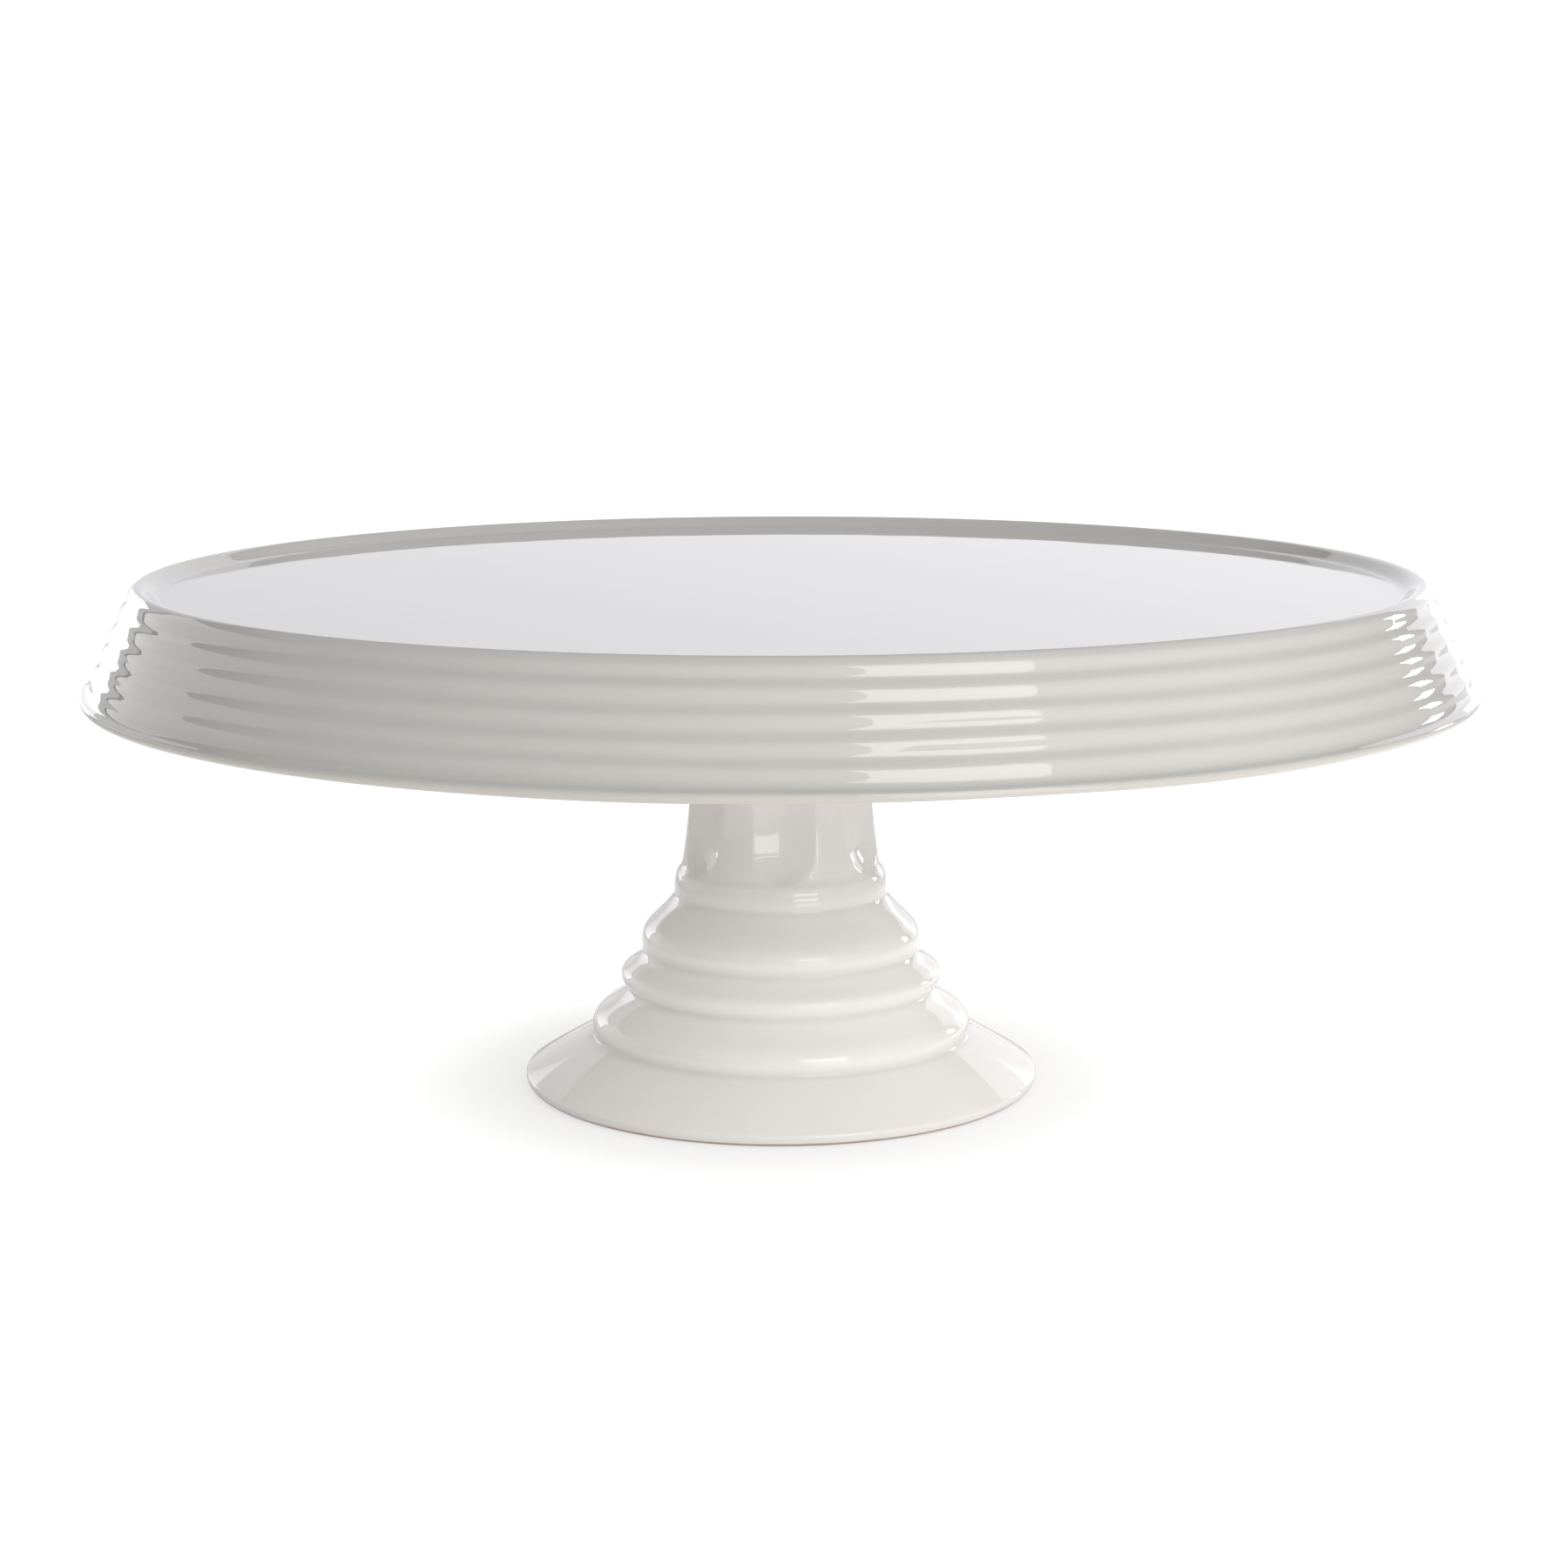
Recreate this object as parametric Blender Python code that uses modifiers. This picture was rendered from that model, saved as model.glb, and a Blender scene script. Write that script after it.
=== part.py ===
"""Footed cake stand in glazed porcelain, in metres, with +Z up and the table at z = 0.

Three pieces are made apart and then fired as one: a plate with a rippled, down-turned skirt,
a hollow turned pedestal with a fluted neck, and the ring of slip that lutes the two together.
"""
import math

import bpy
from mathutils import Vector

# Overall sizes
STAND_HEIGHT = 0.1200       # from the table to the crest of the plate's lip
PLATE_DIAMETER = 0.3180     # across the lower edge of the skirt, its widest part
FOOT_DIAMETER = 0.1206      # across the pedestal's foot

# Plate
LIP_INSET = 0.0134          # lip crest, inside the skirt's widest part
LIP_RADIUS = 0.0014         # round of the lip's crest
LIP_WIDTH = 0.0053          # from the lip's crest to the flat deck
DECK_RECESS = 0.0026        # deck, below the lip's crest
DECK_THICKNESS = 0.0062
SKIRT_DEPTH = 0.0258        # from the lip's crest to the skirt's lower edge
SKIRT_WALL = 0.0052
SKIRT_FILLET = 0.0045       # inside corner between the skirt and the deck's underside
RIPPLE_COUNT = 5            # turned ripples around the skirt
RIPPLE_FIRST_DROP = 0.0048  # start of the first ripple, below the lip's crest
RIPPLE_FIRST_INSET = 0.0101  # start of the first ripple, inside the skirt's widest part
RIPPLE_LAST_RISE = 0.0025   # start of the last ripple, above the skirt's lower edge
RIPPLE_LAST_INSET = 0.0015  # start of the last ripple, inside the skirt's widest part
RIPPLE = 0.0006             # height of a ripple's ridge over the hollow below it
EDGE_RADIUS = 0.0015        # round of the skirt's lower edge

# Rounded corners of the plate's section: the angles, in degrees, between which each one turns
LIP_TURN = (70, 30)
OUTER_EDGE_TURN = (20, -90)
INNER_EDGE_TURN = (-90, -160)

# Pedestal, from the plate down to the foot
PEDESTAL_WALL = 0.0050
NECK_TOP_RADIUS = 0.0246    # where the neck meets the plate
NECK_WAIST_RADIUS = 0.0210
NECK_WAIST_HEIGHT = 0.0770
NECK_FOOT_RADIUS = 0.0230
NECK_FOOT_HEIGHT = 0.0531
BEAD_RADIUS = 0.0243        # upper edge of the bead ring under the neck
BEAD_HEIGHT = 0.0502
BEAD_BELLY = 0.0003
COLLAR_RADIUS = 0.0250      # groove under the bead ring
COLLAR_HEIGHT = 0.0448
STEP_RADII = (0.0325, 0.0361, 0.0443)    # notch under each of the three turned steps
STEP_HEIGHTS = (0.0317, 0.0227, 0.0117)
STEP_BELLIES = (0.0021, 0.0027, 0.0022)
STEP_LEAN = 1.9             # above 1, a step's fullest part is near its lower edge
FLANK_BELLY = 0.0003        # swell of the foot's sloping top
FOOT_EDGE_HEIGHT = 0.0027   # widest part of the foot, above the table
FOOT_UNDERCUT = 0.0020      # how far the foot's round edge turns in below its widest part
FOOT_RING_WIDTH = 0.0042    # bare ring that the stand rests on
FOOT_HOLLOW_RISE = 0.0018   # where the hollow's mouth starts to close in

# Flutes cut in the neck
FLUTE_COUNT = 6
FLUTE_HALF_WIDTH = 0.0073
FLUTE_DEPTH = 0.0024
FLUTE_BOTTOM = 0.0508       # lowest point of a flute's rounded end
FLUTE_TOP_MARGIN = 0.0060   # plain collar left between a flute and the plate
FLUTE_FRONT = math.radians(-90)   # one flute faces the front

# Joint between the plate and the pedestal
SEAT_DEPTH = 0.0012         # shallow seat in the plate's underside that locates the neck
SEAM_WIDTH = 0.0034         # slip fillet, along the plate
SEAM_HEIGHT = 0.0034        # slip fillet, down the neck
SEAM_LAND = 0.0004          # thickness left at the fillet's two feather edges
CLEARANCE = 0.0003          # between pieces that meet

# Fineness of the turned surfaces
SEGMENTS = 72
RIPPLE_STEPS = 4
STEP_STEPS = 6
NECK_STEPS = 14
ARC_STEPS = 4
SMALL_ARC_STEPS = 2
MERGE = 0.00001

PORCELAIN = (0.840, 0.825, 0.795, 1.0)
SLIP = (0.800, 0.780, 0.745, 1.0)
GLAZE_ROUGHNESS = 0.08
SLIP_ROUGHNESS = 0.15
SHARP_ANGLE = math.radians(50)


def plate_heights():
    """Heights of the lip's crest, the deck, the deck's underside and the skirt's lower edge."""
    crest = STAND_HEIGHT
    deck = crest - DECK_RECESS
    underside = deck - DECK_THICKNESS
    edge = crest - SKIRT_DEPTH
    return crest, deck, underside, edge


def arc(centre, radius, start, end, steps):
    """Points of an arc between two angles in degrees, measured from +X towards +Z."""
    points = []
    for i in range(steps + 1):
        angle = math.radians(start + (end - start) * i / steps)
        points.append((centre[0] + radius * math.cos(angle), centre[1] + radius * math.sin(angle)))
    return points


def swell(start, end, belly, lean, steps):
    """Points from start down to end, both left out of the line between them by a rounded belly."""
    along = Vector(end) - Vector(start)
    outward = Vector((-along.y, along.x)).normalized()
    points = []
    for i in range(1, steps + 1):
        share = i / steps
        lift = belly * math.sin(math.pi * share ** lean)
        point = Vector(start) + along * share + outward * lift
        points.append((point.x, point.y))
    return points


def ripple(start, end, steps):
    """Points of one soft wave down from start to end, its ridge above and its hollow below."""
    along = Vector(end) - Vector(start)
    outward = Vector((-along.y, along.x)).normalized()
    points = []
    for i in range(1, steps + 1):
        share = i / steps
        point = Vector(start) + along * share + outward * RIPPLE / 2 * math.sin(2 * math.pi * share)
        points.append((point.x, point.y))
    return points


def ripple_starts():
    """Radius and height where each ripple starts, on a straight cone from the first to the last."""
    crest, _, _, edge = plate_heights()
    widest = PLATE_DIAMETER / 2
    first = Vector((widest - RIPPLE_FIRST_INSET, crest - RIPPLE_FIRST_DROP))
    last = Vector((widest - RIPPLE_LAST_INSET, edge + RIPPLE_LAST_RISE))
    starts = []
    for i in range(RIPPLE_COUNT):
        point = first.lerp(last, i / (RIPPLE_COUNT - 1))
        starts.append((point.x, point.y))
    return starts


def neck_radius(height):
    """Plain outer radius of the waisted neck, before the flutes."""
    _, _, underside, _ = plate_heights()
    if height < NECK_WAIST_HEIGHT:
        share = (NECK_WAIST_HEIGHT - height) / (NECK_WAIST_HEIGHT - NECK_FOOT_HEIGHT)
        return NECK_WAIST_RADIUS + (NECK_FOOT_RADIUS - NECK_WAIST_RADIUS) * share ** 2
    share = (height - NECK_WAIST_HEIGHT) / (underside - NECK_WAIST_HEIGHT)
    return NECK_WAIST_RADIUS + (NECK_TOP_RADIUS - NECK_WAIST_RADIUS) * share ** 2


def flute_depth(angle, height):
    """How deep the flutes are at a point of the neck, zero on the lands between them."""
    _, _, underside, _ = plate_heights()
    pitch = 2 * math.pi / FLUTE_COUNT
    across = (angle - FLUTE_FRONT + pitch / 2) % pitch - pitch / 2
    across *= neck_radius(max(height, NECK_FOOT_HEIGHT))
    lower_end = FLUTE_BOTTOM + FLUTE_HALF_WIDTH
    upper_end = underside - FLUTE_TOP_MARGIN - FLUTE_HALF_WIDTH
    beyond = max(lower_end - height, height - upper_end, 0)
    reach = (across ** 2 + beyond ** 2) / FLUTE_HALF_WIDTH ** 2
    return FLUTE_DEPTH * max(0, 1 - reach)


def plate_profile():
    """Half section of the plate, from the centre of the deck to the centre of its underside."""
    crest, deck, underside, edge = plate_heights()
    widest = PLATE_DIAMETER / 2
    crest_radius = widest - LIP_INSET
    points = [(0, deck)]
    # the lip's inner face climbs in a soft S from the deck to its crest
    for i in range(ARC_STEPS + 1):
        share = i / ARC_STEPS
        rise = 0.5 - 0.5 * math.cos(math.pi * share)
        points.append((crest_radius - LIP_WIDTH * (1 - share), deck + DECK_RECESS * rise))
    points += arc((crest_radius, crest - LIP_RADIUS), LIP_RADIUS, *LIP_TURN, SMALL_ARC_STEPS)
    # the ripples, from the lip down
    starts = ripple_starts()
    for start, end in zip([points[-1]] + starts, starts):
        points += ripple(start, end, RIPPLE_STEPS)
    # the lower edge, rounded from the outer to the inner face
    turn = (widest - EDGE_RADIUS, edge + EDGE_RADIUS)
    points += arc(turn, EDGE_RADIUS, *OUTER_EDGE_TURN, ARC_STEPS)
    inner_edge = widest - SKIRT_WALL
    turn = (inner_edge + EDGE_RADIUS, edge + EDGE_RADIUS)
    points += arc(turn, EDGE_RADIUS, *INNER_EDGE_TURN, SMALL_ARC_STEPS)
    # the inside of the skirt leans with the outside, up to a fillet under the deck
    lean = (starts[-1][0] - starts[0][0]) / (starts[0][1] - starts[-1][1])
    corner = inner_edge - lean * (underside - edge)
    for i in range(ARC_STEPS + 1):
        share = i / ARC_STEPS
        low = (corner + lean * SKIRT_FILLET, underside - SKIRT_FILLET)
        far = (corner - SKIRT_FILLET, underside)
        blend = [(1 - share) ** 2, 2 * share * (1 - share), share ** 2]
        across = blend[0] * low[0] + blend[1] * corner + blend[2] * far[0]
        up = blend[0] * low[1] + blend[1] * underside + blend[2] * far[1]
        points.append((across, up))
    # the seat that locates the neck
    seat_outer = NECK_TOP_RADIUS + CLEARANCE
    seat_inner = NECK_TOP_RADIUS - PEDESTAL_WALL - CLEARANCE
    points += [(seat_outer, underside), (seat_outer, underside + SEAT_DEPTH)]
    points += [(seat_inner, underside + SEAT_DEPTH), (seat_inner, underside)]
    points.append((0, underside))
    return points


def pedestal_profile():
    """Closed half section of the hollow pedestal, down its outside and back up its inside."""
    _, _, underside, _ = plate_heights()
    top = underside + SEAT_DEPTH - CLEARANCE
    foot = FOOT_DIAMETER / 2
    points = [(NECK_TOP_RADIUS, top)]
    for i in range(NECK_STEPS + 1):
        height = underside + (NECK_FOOT_HEIGHT - underside) * i / NECK_STEPS
        points.append((neck_radius(height), height))
    points += swell(points[-1], (BEAD_RADIUS, BEAD_HEIGHT), -BEAD_BELLY, 1, SMALL_ARC_STEPS)
    points += swell(points[-1], (COLLAR_RADIUS, COLLAR_HEIGHT), BEAD_BELLY, 1, ARC_STEPS)
    for radius, height, belly in zip(STEP_RADII, STEP_HEIGHTS, STEP_BELLIES):
        points += swell(points[-1], (radius, height), belly, STEP_LEAN, STEP_STEPS)
    points += swell(points[-1], (foot, FOOT_EDGE_HEIGHT), FLANK_BELLY, 1, ARC_STEPS)
    for i in range(1, ARC_STEPS + 1):
        angle = math.pi / 2 * i / ARC_STEPS
        turned_in = FOOT_UNDERCUT * (1 - math.cos(angle))
        points.append((foot - turned_in, FOOT_EDGE_HEIGHT * (1 - math.sin(angle))))
    mouth = foot - FOOT_UNDERCUT - FOOT_RING_WIDTH
    points += [(mouth, 0), (mouth - FOOT_HOLLOW_RISE / 2, FOOT_HOLLOW_RISE)]
    # the hollow follows the notches outside it, one wall further in
    notches = list(zip(STEP_RADII, STEP_HEIGHTS))
    for radius, height in reversed(notches):
        points.append((radius - PEDESTAL_WALL, height))
    points.append((COLLAR_RADIUS - PEDESTAL_WALL, COLLAR_HEIGHT))
    for height in (NECK_FOOT_HEIGHT, NECK_WAIST_HEIGHT, underside):
        points.append((neck_radius(height) - PEDESTAL_WALL, height))
    points.append((NECK_TOP_RADIUS - PEDESTAL_WALL, top))
    return points


def seam_profile():
    """Closed half section of the slip ring, a hollow fillet between the neck and the plate."""
    _, _, underside, _ = plate_heights()
    top = underside - CLEARANCE
    bottom = top - SEAM_HEIGHT
    inner = NECK_TOP_RADIUS + CLEARANCE
    outer = inner + SEAM_WIDTH
    points = [(inner, top), (outer, top)]
    for i in range(ARC_STEPS + 1):
        angle = math.pi / 2 * i / ARC_STEPS
        across = outer - (SEAM_WIDTH - SEAM_LAND) * math.sin(angle)
        points.append((across, bottom + (SEAM_HEIGHT - SEAM_LAND) * math.cos(angle)))
    points.append((neck_radius(bottom) + CLEARANCE, bottom))
    return points


def turned(name, profile, closed, material, collection):
    """A body of revolution about Z from a half section at +X that runs down its outer side."""
    mesh = bpy.data.meshes.new(name)
    edges = [(i, i + 1) for i in range(len(profile) - 1)]
    if closed:
        edges.append((len(profile) - 1, 0))
    mesh.from_pydata([(radius, 0, height) for radius, height in profile], edges, [])
    mesh.materials.append(material)
    body = bpy.data.objects.new(name, mesh)
    collection.objects.link(body)
    screw = body.modifiers.new("turned about Z", "SCREW")
    screw.axis = "Z"
    screw.angle = 2 * math.pi
    screw.steps = SEGMENTS
    screw.render_steps = SEGMENTS
    screw.use_merge_vertices = True
    screw.merge_threshold = MERGE
    screw.use_smooth_shade = True
    return body


def fluted(body):
    """Sinks the flutes into the outside of the turned pedestal's neck."""
    evaluated = body.evaluated_get(bpy.context.evaluated_depsgraph_get())
    mesh = bpy.data.meshes.new_from_object(evaluated)
    for vertex in mesh.vertices:
        radius = math.hypot(vertex.co.x, vertex.co.y)
        if radius < neck_radius(vertex.co.z) - PEDESTAL_WALL / 2:
            continue
        angle = math.atan2(vertex.co.y, vertex.co.x)
        kept = 1 - flute_depth(angle, vertex.co.z) / radius
        vertex.co.x *= kept
        vertex.co.y *= kept
    body.modifiers.clear()
    body.data = mesh
    mesh.name = body.name
    mesh.shade_smooth()
    mesh.set_sharp_from_angle(angle=SHARP_ANGLE)


def new_material(name, colour, roughness):
    material = bpy.data.materials.new(name)
    material.use_nodes = True
    shader = material.node_tree.nodes["Principled BSDF"]
    shader.inputs["Base Color"].default_value = colour
    shader.inputs["Roughness"].default_value = roughness
    shader.inputs["Metallic"].default_value = 0
    material.diffuse_color = colour
    return material


def main():
    for old in list(bpy.data.objects):
        bpy.data.objects.remove(old)
    collection = bpy.data.collections.new("cake_stand")
    bpy.context.scene.collection.children.link(collection)

    plate_glaze = new_material("plate_glaze", PORCELAIN, GLAZE_ROUGHNESS)
    pedestal_glaze = new_material("pedestal_glaze", PORCELAIN, GLAZE_ROUGHNESS)
    seam_glaze = new_material("seam_glaze", SLIP, SLIP_ROUGHNESS)

    turned("plate", plate_profile(), False, plate_glaze, collection)
    pedestal = turned("pedestal", pedestal_profile(), True, pedestal_glaze, collection)
    fluted(pedestal)
    turned("slip_seam", seam_profile(), True, seam_glaze, collection)


main()
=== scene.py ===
"""Glazed porcelain cake stand: a fine, hand-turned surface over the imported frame, in a white studio."""
import math

import bpy
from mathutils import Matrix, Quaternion, Vector


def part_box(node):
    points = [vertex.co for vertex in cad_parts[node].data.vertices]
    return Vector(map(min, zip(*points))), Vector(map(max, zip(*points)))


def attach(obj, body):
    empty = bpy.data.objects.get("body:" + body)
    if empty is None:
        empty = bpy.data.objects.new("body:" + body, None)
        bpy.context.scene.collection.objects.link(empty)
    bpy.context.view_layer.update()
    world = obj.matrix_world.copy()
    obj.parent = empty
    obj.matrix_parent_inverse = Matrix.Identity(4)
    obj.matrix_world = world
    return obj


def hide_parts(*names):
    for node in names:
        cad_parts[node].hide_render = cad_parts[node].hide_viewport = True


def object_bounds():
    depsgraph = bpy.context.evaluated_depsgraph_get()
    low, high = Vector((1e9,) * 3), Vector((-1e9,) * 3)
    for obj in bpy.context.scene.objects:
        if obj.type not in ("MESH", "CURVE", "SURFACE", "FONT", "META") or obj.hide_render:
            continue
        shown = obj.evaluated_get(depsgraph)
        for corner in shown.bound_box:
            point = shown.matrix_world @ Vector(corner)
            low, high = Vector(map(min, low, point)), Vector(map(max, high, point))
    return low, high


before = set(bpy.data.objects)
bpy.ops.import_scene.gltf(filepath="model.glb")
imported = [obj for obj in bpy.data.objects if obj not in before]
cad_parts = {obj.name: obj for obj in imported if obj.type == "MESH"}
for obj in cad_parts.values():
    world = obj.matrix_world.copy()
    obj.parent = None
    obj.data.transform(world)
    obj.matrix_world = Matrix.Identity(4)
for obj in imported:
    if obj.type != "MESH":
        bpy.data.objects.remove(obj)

CAD_LOW, CAD_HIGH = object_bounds()
PLATE_LOW, PLATE_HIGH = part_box("plate")
FOOT_LOW, FOOT_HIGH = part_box("pedestal")

# Overall sizes, read from the frame
CREST = CAD_HIGH.z
WIDEST = (PLATE_HIGH.x - PLATE_LOW.x) / 2
SKIRT_EDGE = PLATE_LOW.z
FOOT = (FOOT_HIGH.x - FOOT_LOW.x) / 2
NECK_TOP = FOOT_HIGH.z

# Plate
LIP_INSET = 0.0134
LIP_RADIUS = 0.0014
LIP_WIDTH = 0.0053
LIP_TURN = (75, 30)
DECK = CREST - 0.0026
UNDERSIDE = DECK - 0.0062
SKIRT_WALL = 0.0052
SKIRT_FILLET = 0.0045
RIPPLE_COUNT = 5
RIPPLE_FIRST = (WIDEST - 0.0101, CREST - 0.0048)
RIPPLE_LAST = (WIDEST - 0.0015, SKIRT_EDGE + 0.0025)
RIPPLE = 0.00050                    # height of a ripple's ridge over the hollow below it
EDGE_RADIUS = 0.0015
OUTER_EDGE_TURN = (20, -90)
INNER_EDGE_TURN = (-90, -160)

# Pedestal, from the plate down to the foot
PEDESTAL_WALL = 0.0050
NECK_TOP_RADIUS = 0.0246
NECK_WAIST = (0.0210, 0.0770)
NECK_FOOT = (0.0230, 0.0531)
BEAD = (0.0243, 0.0502)
BEAD_BELLY = 0.0003
COLLAR = (0.0250, 0.0448)
STEPS = ((0.0325, 0.0317, 0.0021), (0.0361, 0.0227, 0.0027), (0.0443, 0.0117, 0.0022))
STEP_LEAN = 1.9
FLANK_BELLY = 0.0003
FOOT_EDGE = 0.0027
FOOT_UNDERCUT = 0.0020
FOOT_RING_WIDTH = 0.0042
FOOT_HOLLOW_RISE = 0.0018

# Flutes cut in the neck
FLUTE_COUNT = 6
FLUTE_HALF_WIDTH = 0.0073
FLUTE_DEPTH = 0.0024
FLUTE_BOTTOM = 0.0508
FLUTE_TOP = UNDERSIDE - 0.0060
FLUTE_FRONT = math.radians(-90)
FLUTE_SOFTNESS = 0.0015             # how gently a flute's edge meets the neck
FLUTE_MARGIN = 0.0020               # neck beyond the flutes that is drawn as finely as they are
FLUTE_REACH = 0.0030                # neck below the flutes that they may still shape

# Joint between the plate and the pedestal
SEAT_DEPTH = 0.0012
SEAM_WIDTH = 0.0034
SEAM_HEIGHT = 0.0034
SEAM_LAND = 0.0004
CLEARANCE = 0.0003

# Drift of hand turning in the plate's skirt
DRIFT_HEIGHT = 0.0005
DRIFT_RADIUS = 0.0002
DRIFT_WAVES = 2.0                   # size of the noise that a turn passes through
DRIFT_ROWS = 120.0                  # the same for a metre of height
DRIFT_SEED = 3.0
DRIFT_INSET = 0.014                 # how far inside the skirt's edge the drift starts
DRIFT_GROWS = 0.003                 # width over which it reaches its full size

# Fineness of the turned surfaces
SAMPLE = 0.00015                    # spacing of a section's points before it is thinned
TURN_PER_ROW = math.radians(3.5)
MOST_ROW = 0.0060                   # longest gap between two rows on a plain stretch
NECK_ROW = 0.0009                   # the same where the flutes run
GLAZE_RADIUS = 0.00035              # how far the glaze rounds a turned corner
GLAZE_REACH = 2.5                   # how many such radii away a point still counts
SMALL_TURN = 8                      # points round a small arc
QUARTER_TURN = 12                   # points round a quarter turn
PLAIN_CURVE = 24                    # points along a plain curve
FINE_CURVE = 40                     # points along a ripple or a step
NECK_CURVE = 60                     # points along the neck
PLATE_SEGMENTS = 300
PEDESTAL_SEGMENTS = 300
SEAM_SEGMENTS = 180
MERGE_DISTANCE = 2e-6

# Camera
CAMERA_DISTANCE = 0.7132
CAMERA_HEIGHT = 0.1959
CAMERA_PITCH = math.radians(9.99)
CAMERA_ROLL = math.radians(-0.12)
CAMERA_SWING = math.radians(-2.6)
CAMERA_ASIDE = 0.0008
CAMERA_LENS = 71.17
CAMERA_SENSOR = 36.0
CAMERA_REACH = (0.01, 50.0)

# Glaze
# the plate's glaze: a shaded grey copy of the pedestal's glaze, which is painted shade
SHADED_PLATE_GLAZE = (0.62, 0.605, 0.575, 1)
# darker colour of the plate: glaze gathered between ripples with painted shade, and painted shade along
# the skirt's lower edge
POOLED_AND_SHADED_GLAZE = (0.47, 0.44, 0.40, 1)
# a lit near-white copy of the same glaze for the pedestal's foot, which is painted light
LIT_FOOT_GLAZE = (0.95, 0.93, 0.905, 1)
# painted shade under the plate, darkening the pedestal towards its neck; also the darker colour in the
# notches and the slip ring's colour
SHADED_NECK_GLAZE = (0.75, 0.725, 0.70, 1)
NECK_SHADE_FROM = (0.018, 0.058)    # heights between which painted shade under the plate darkens the pedestal up to the neck
RIPPLE_POOL_AND_SHADE = 0.06                  # share of the darker colour between two ripples: gathered glaze and painted shade
RIPPLE_POOL_AND_SHADE_REACH = 0.0011
EDGE_SHADE_RISE = 1.4                # height of the painted shade along the skirt's lower edge, in edge radii
NOTCH_POOL_AND_SHADE = 0.5                    # share of the darker colour in the notch under a step: gathered glaze and painted shade
NOTCH_POOL_AND_SHADE_REACH = 0.0012
MOTTLE = 0.25
MOTTLE_SPACING = 0.03
GLAZE_IOR = 1.52
PATCH_SCALE = 55.0                  # patches of duller glaze in a metre
PINHOLE_COLOUR = (0.10, 0.08, 0.06, 1)
PINHOLE_DEPTH = 0.0001
PLATE_SKIN = {
    "Wave_Spacing": 0.020, "Wave_Height": 0.00004,
    "Peel_Spacing": 0.0012, "Peel_Height": 0.000001,
    "Roughness": 0.025, "Roughness_Spread": 0.02,
}
PEDESTAL_SKIN = {
    "Wave_Spacing": 0.014, "Wave_Height": 0.00003,
    "Peel_Spacing": 0.0012, "Peel_Height": 0.000001,
    "Roughness": 0.025, "Roughness_Spread": 0.02,
}
PINHOLES = {"Spacing": 0.016, "Width": 0.0007, "Share": 0.04}

# Bare clay of the foot ring
BARE_CLAY = (0.62, 0.50, 0.42, 1)
TOASTED_CLAY = (0.40, 0.24, 0.16, 1)
BARE_ROUGHNESS = 0.75
GLAZE_LINE = 0.0006
GLAZE_LINE_RAGGED = 0.0004
RAGGED_SCALE = 160.0
TOAST_WIDTH = 0.0004
TOAST_STRENGTH = 0.7

# Floor
FLOOR_SIZE = 12.0
FLOOR_COLOUR = (0.70, 0.70, 0.70, 1)
FLOOR_SHOWN_COLOUR = (0.40, 0.40, 0.40, 1)
FLOOR_SHOWN = 0.82                  # floor's own brightness towards the camera
FLOOR_SHOWN_SHADE = 0.60            # the same in the soft shadow against the foot
FLOOR_SHOWN_REACH = (0.058, 0.105)
FLOOR_BRIGHT = 0.80                 # the same towards the stand, in the ring outside the plate's shadow
FLOOR_SHADED = 0.15                 # the same again close to the foot
FLOOR_SHADE = (0.07, 0.16)
FLOOR_FADE = (0.24, 0.50)
FLOOR_FAR = 0.2
FLOOR_LEAN = 0.3                    # how much brighter it is towards the room's bright side
SHEEN_AZIMUTHS = (14.0, 40.0)
SHEEN_REACH = (0.30, 0.62)
SHEEN_LIFT = 0.0005
SHEEN_LIGHT = 3.0

# Room
ROOM_BRIGHT_SIDE = 50.0             # azimuth of the room's brightest wall
ROOM_BRIGHT = 0.70
ROOM_DIM = 0.08
ROOM_TURN = 1.6                     # how quickly the wall darkens away from its bright side
ROOM_LOW = (0.04, 0.28, 0.65, 1.0)  # the wall's foot: from and to, then its light at both
ROOM_HIGH = (0.60, 0.80, 1.0, 0.08) # the same for the wall's top
CEILING = 0.42                      # added overhead
CEILING_FROM = (0.45, 0.75)
ROOM_SHOWN = 1.1                    # the room's white towards the camera

# Screens and lamps, by azimuth and elevation in degrees round the stand
WALL_RADIUS = 3.5
WALL = (-138.0, -80.0)
WALL_TOP = 26.0
WALL_LIGHT = 1.40
WALL_FADE = 0.7
BACKDROP_RADIUS = 2.2
BACKDROP = (138.0, 222.0)
BACKDROP_TOP = 32.0
BACKDROP_RIGHT = 1.46
BACKDROP_LEFT = 0.76
BACKDROP_TINT = (0.975, 0.98, 1.03)
RIM_RADIUS = 1.05
RIM_TOP = 18.0
RIM_RIGHT = (145.0, 156.0)
RIM_LEFT = (205.0, 222.0)
RIM_LIGHT = 3.2                     # radiance at the edge away from the backdrop's middle
RIM_INNER = 1.3                     # and at the edge nearer to it
WIDE_SCREEN_COLUMNS = 12
NARROW_SCREEN_COLUMNS = 6
LAMP_DISTANCE = 1.6
LAMP_AIM = (0, 0, 0.08)
WINDOW = {"azimuth": 27.0, "elevation": 24.0, "width": 0.76, "height": 0.70, "power": 5.4}
LOW_WINDOW = {"azimuth": 27.0, "elevation": 3.2, "width": 0.76, "height": 0.17, "power": 1.3}
SIDE_BOX = {"azimuth": 126.5, "elevation": 9.0, "width": 0.17, "height": 0.32, "power": 2.2}


# ---------------------------------------------------------------- sections

def arc(centre, radius, turn, steps):
    """Points of an arc between two angles in degrees, measured from +X towards +Z."""
    start, end = turn
    points = []
    for i in range(steps + 1):
        angle = math.radians(start + (end - start) * i / steps)
        points.append((centre[0] + radius * math.cos(angle), centre[1] + radius * math.sin(angle)))
    return points


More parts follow.
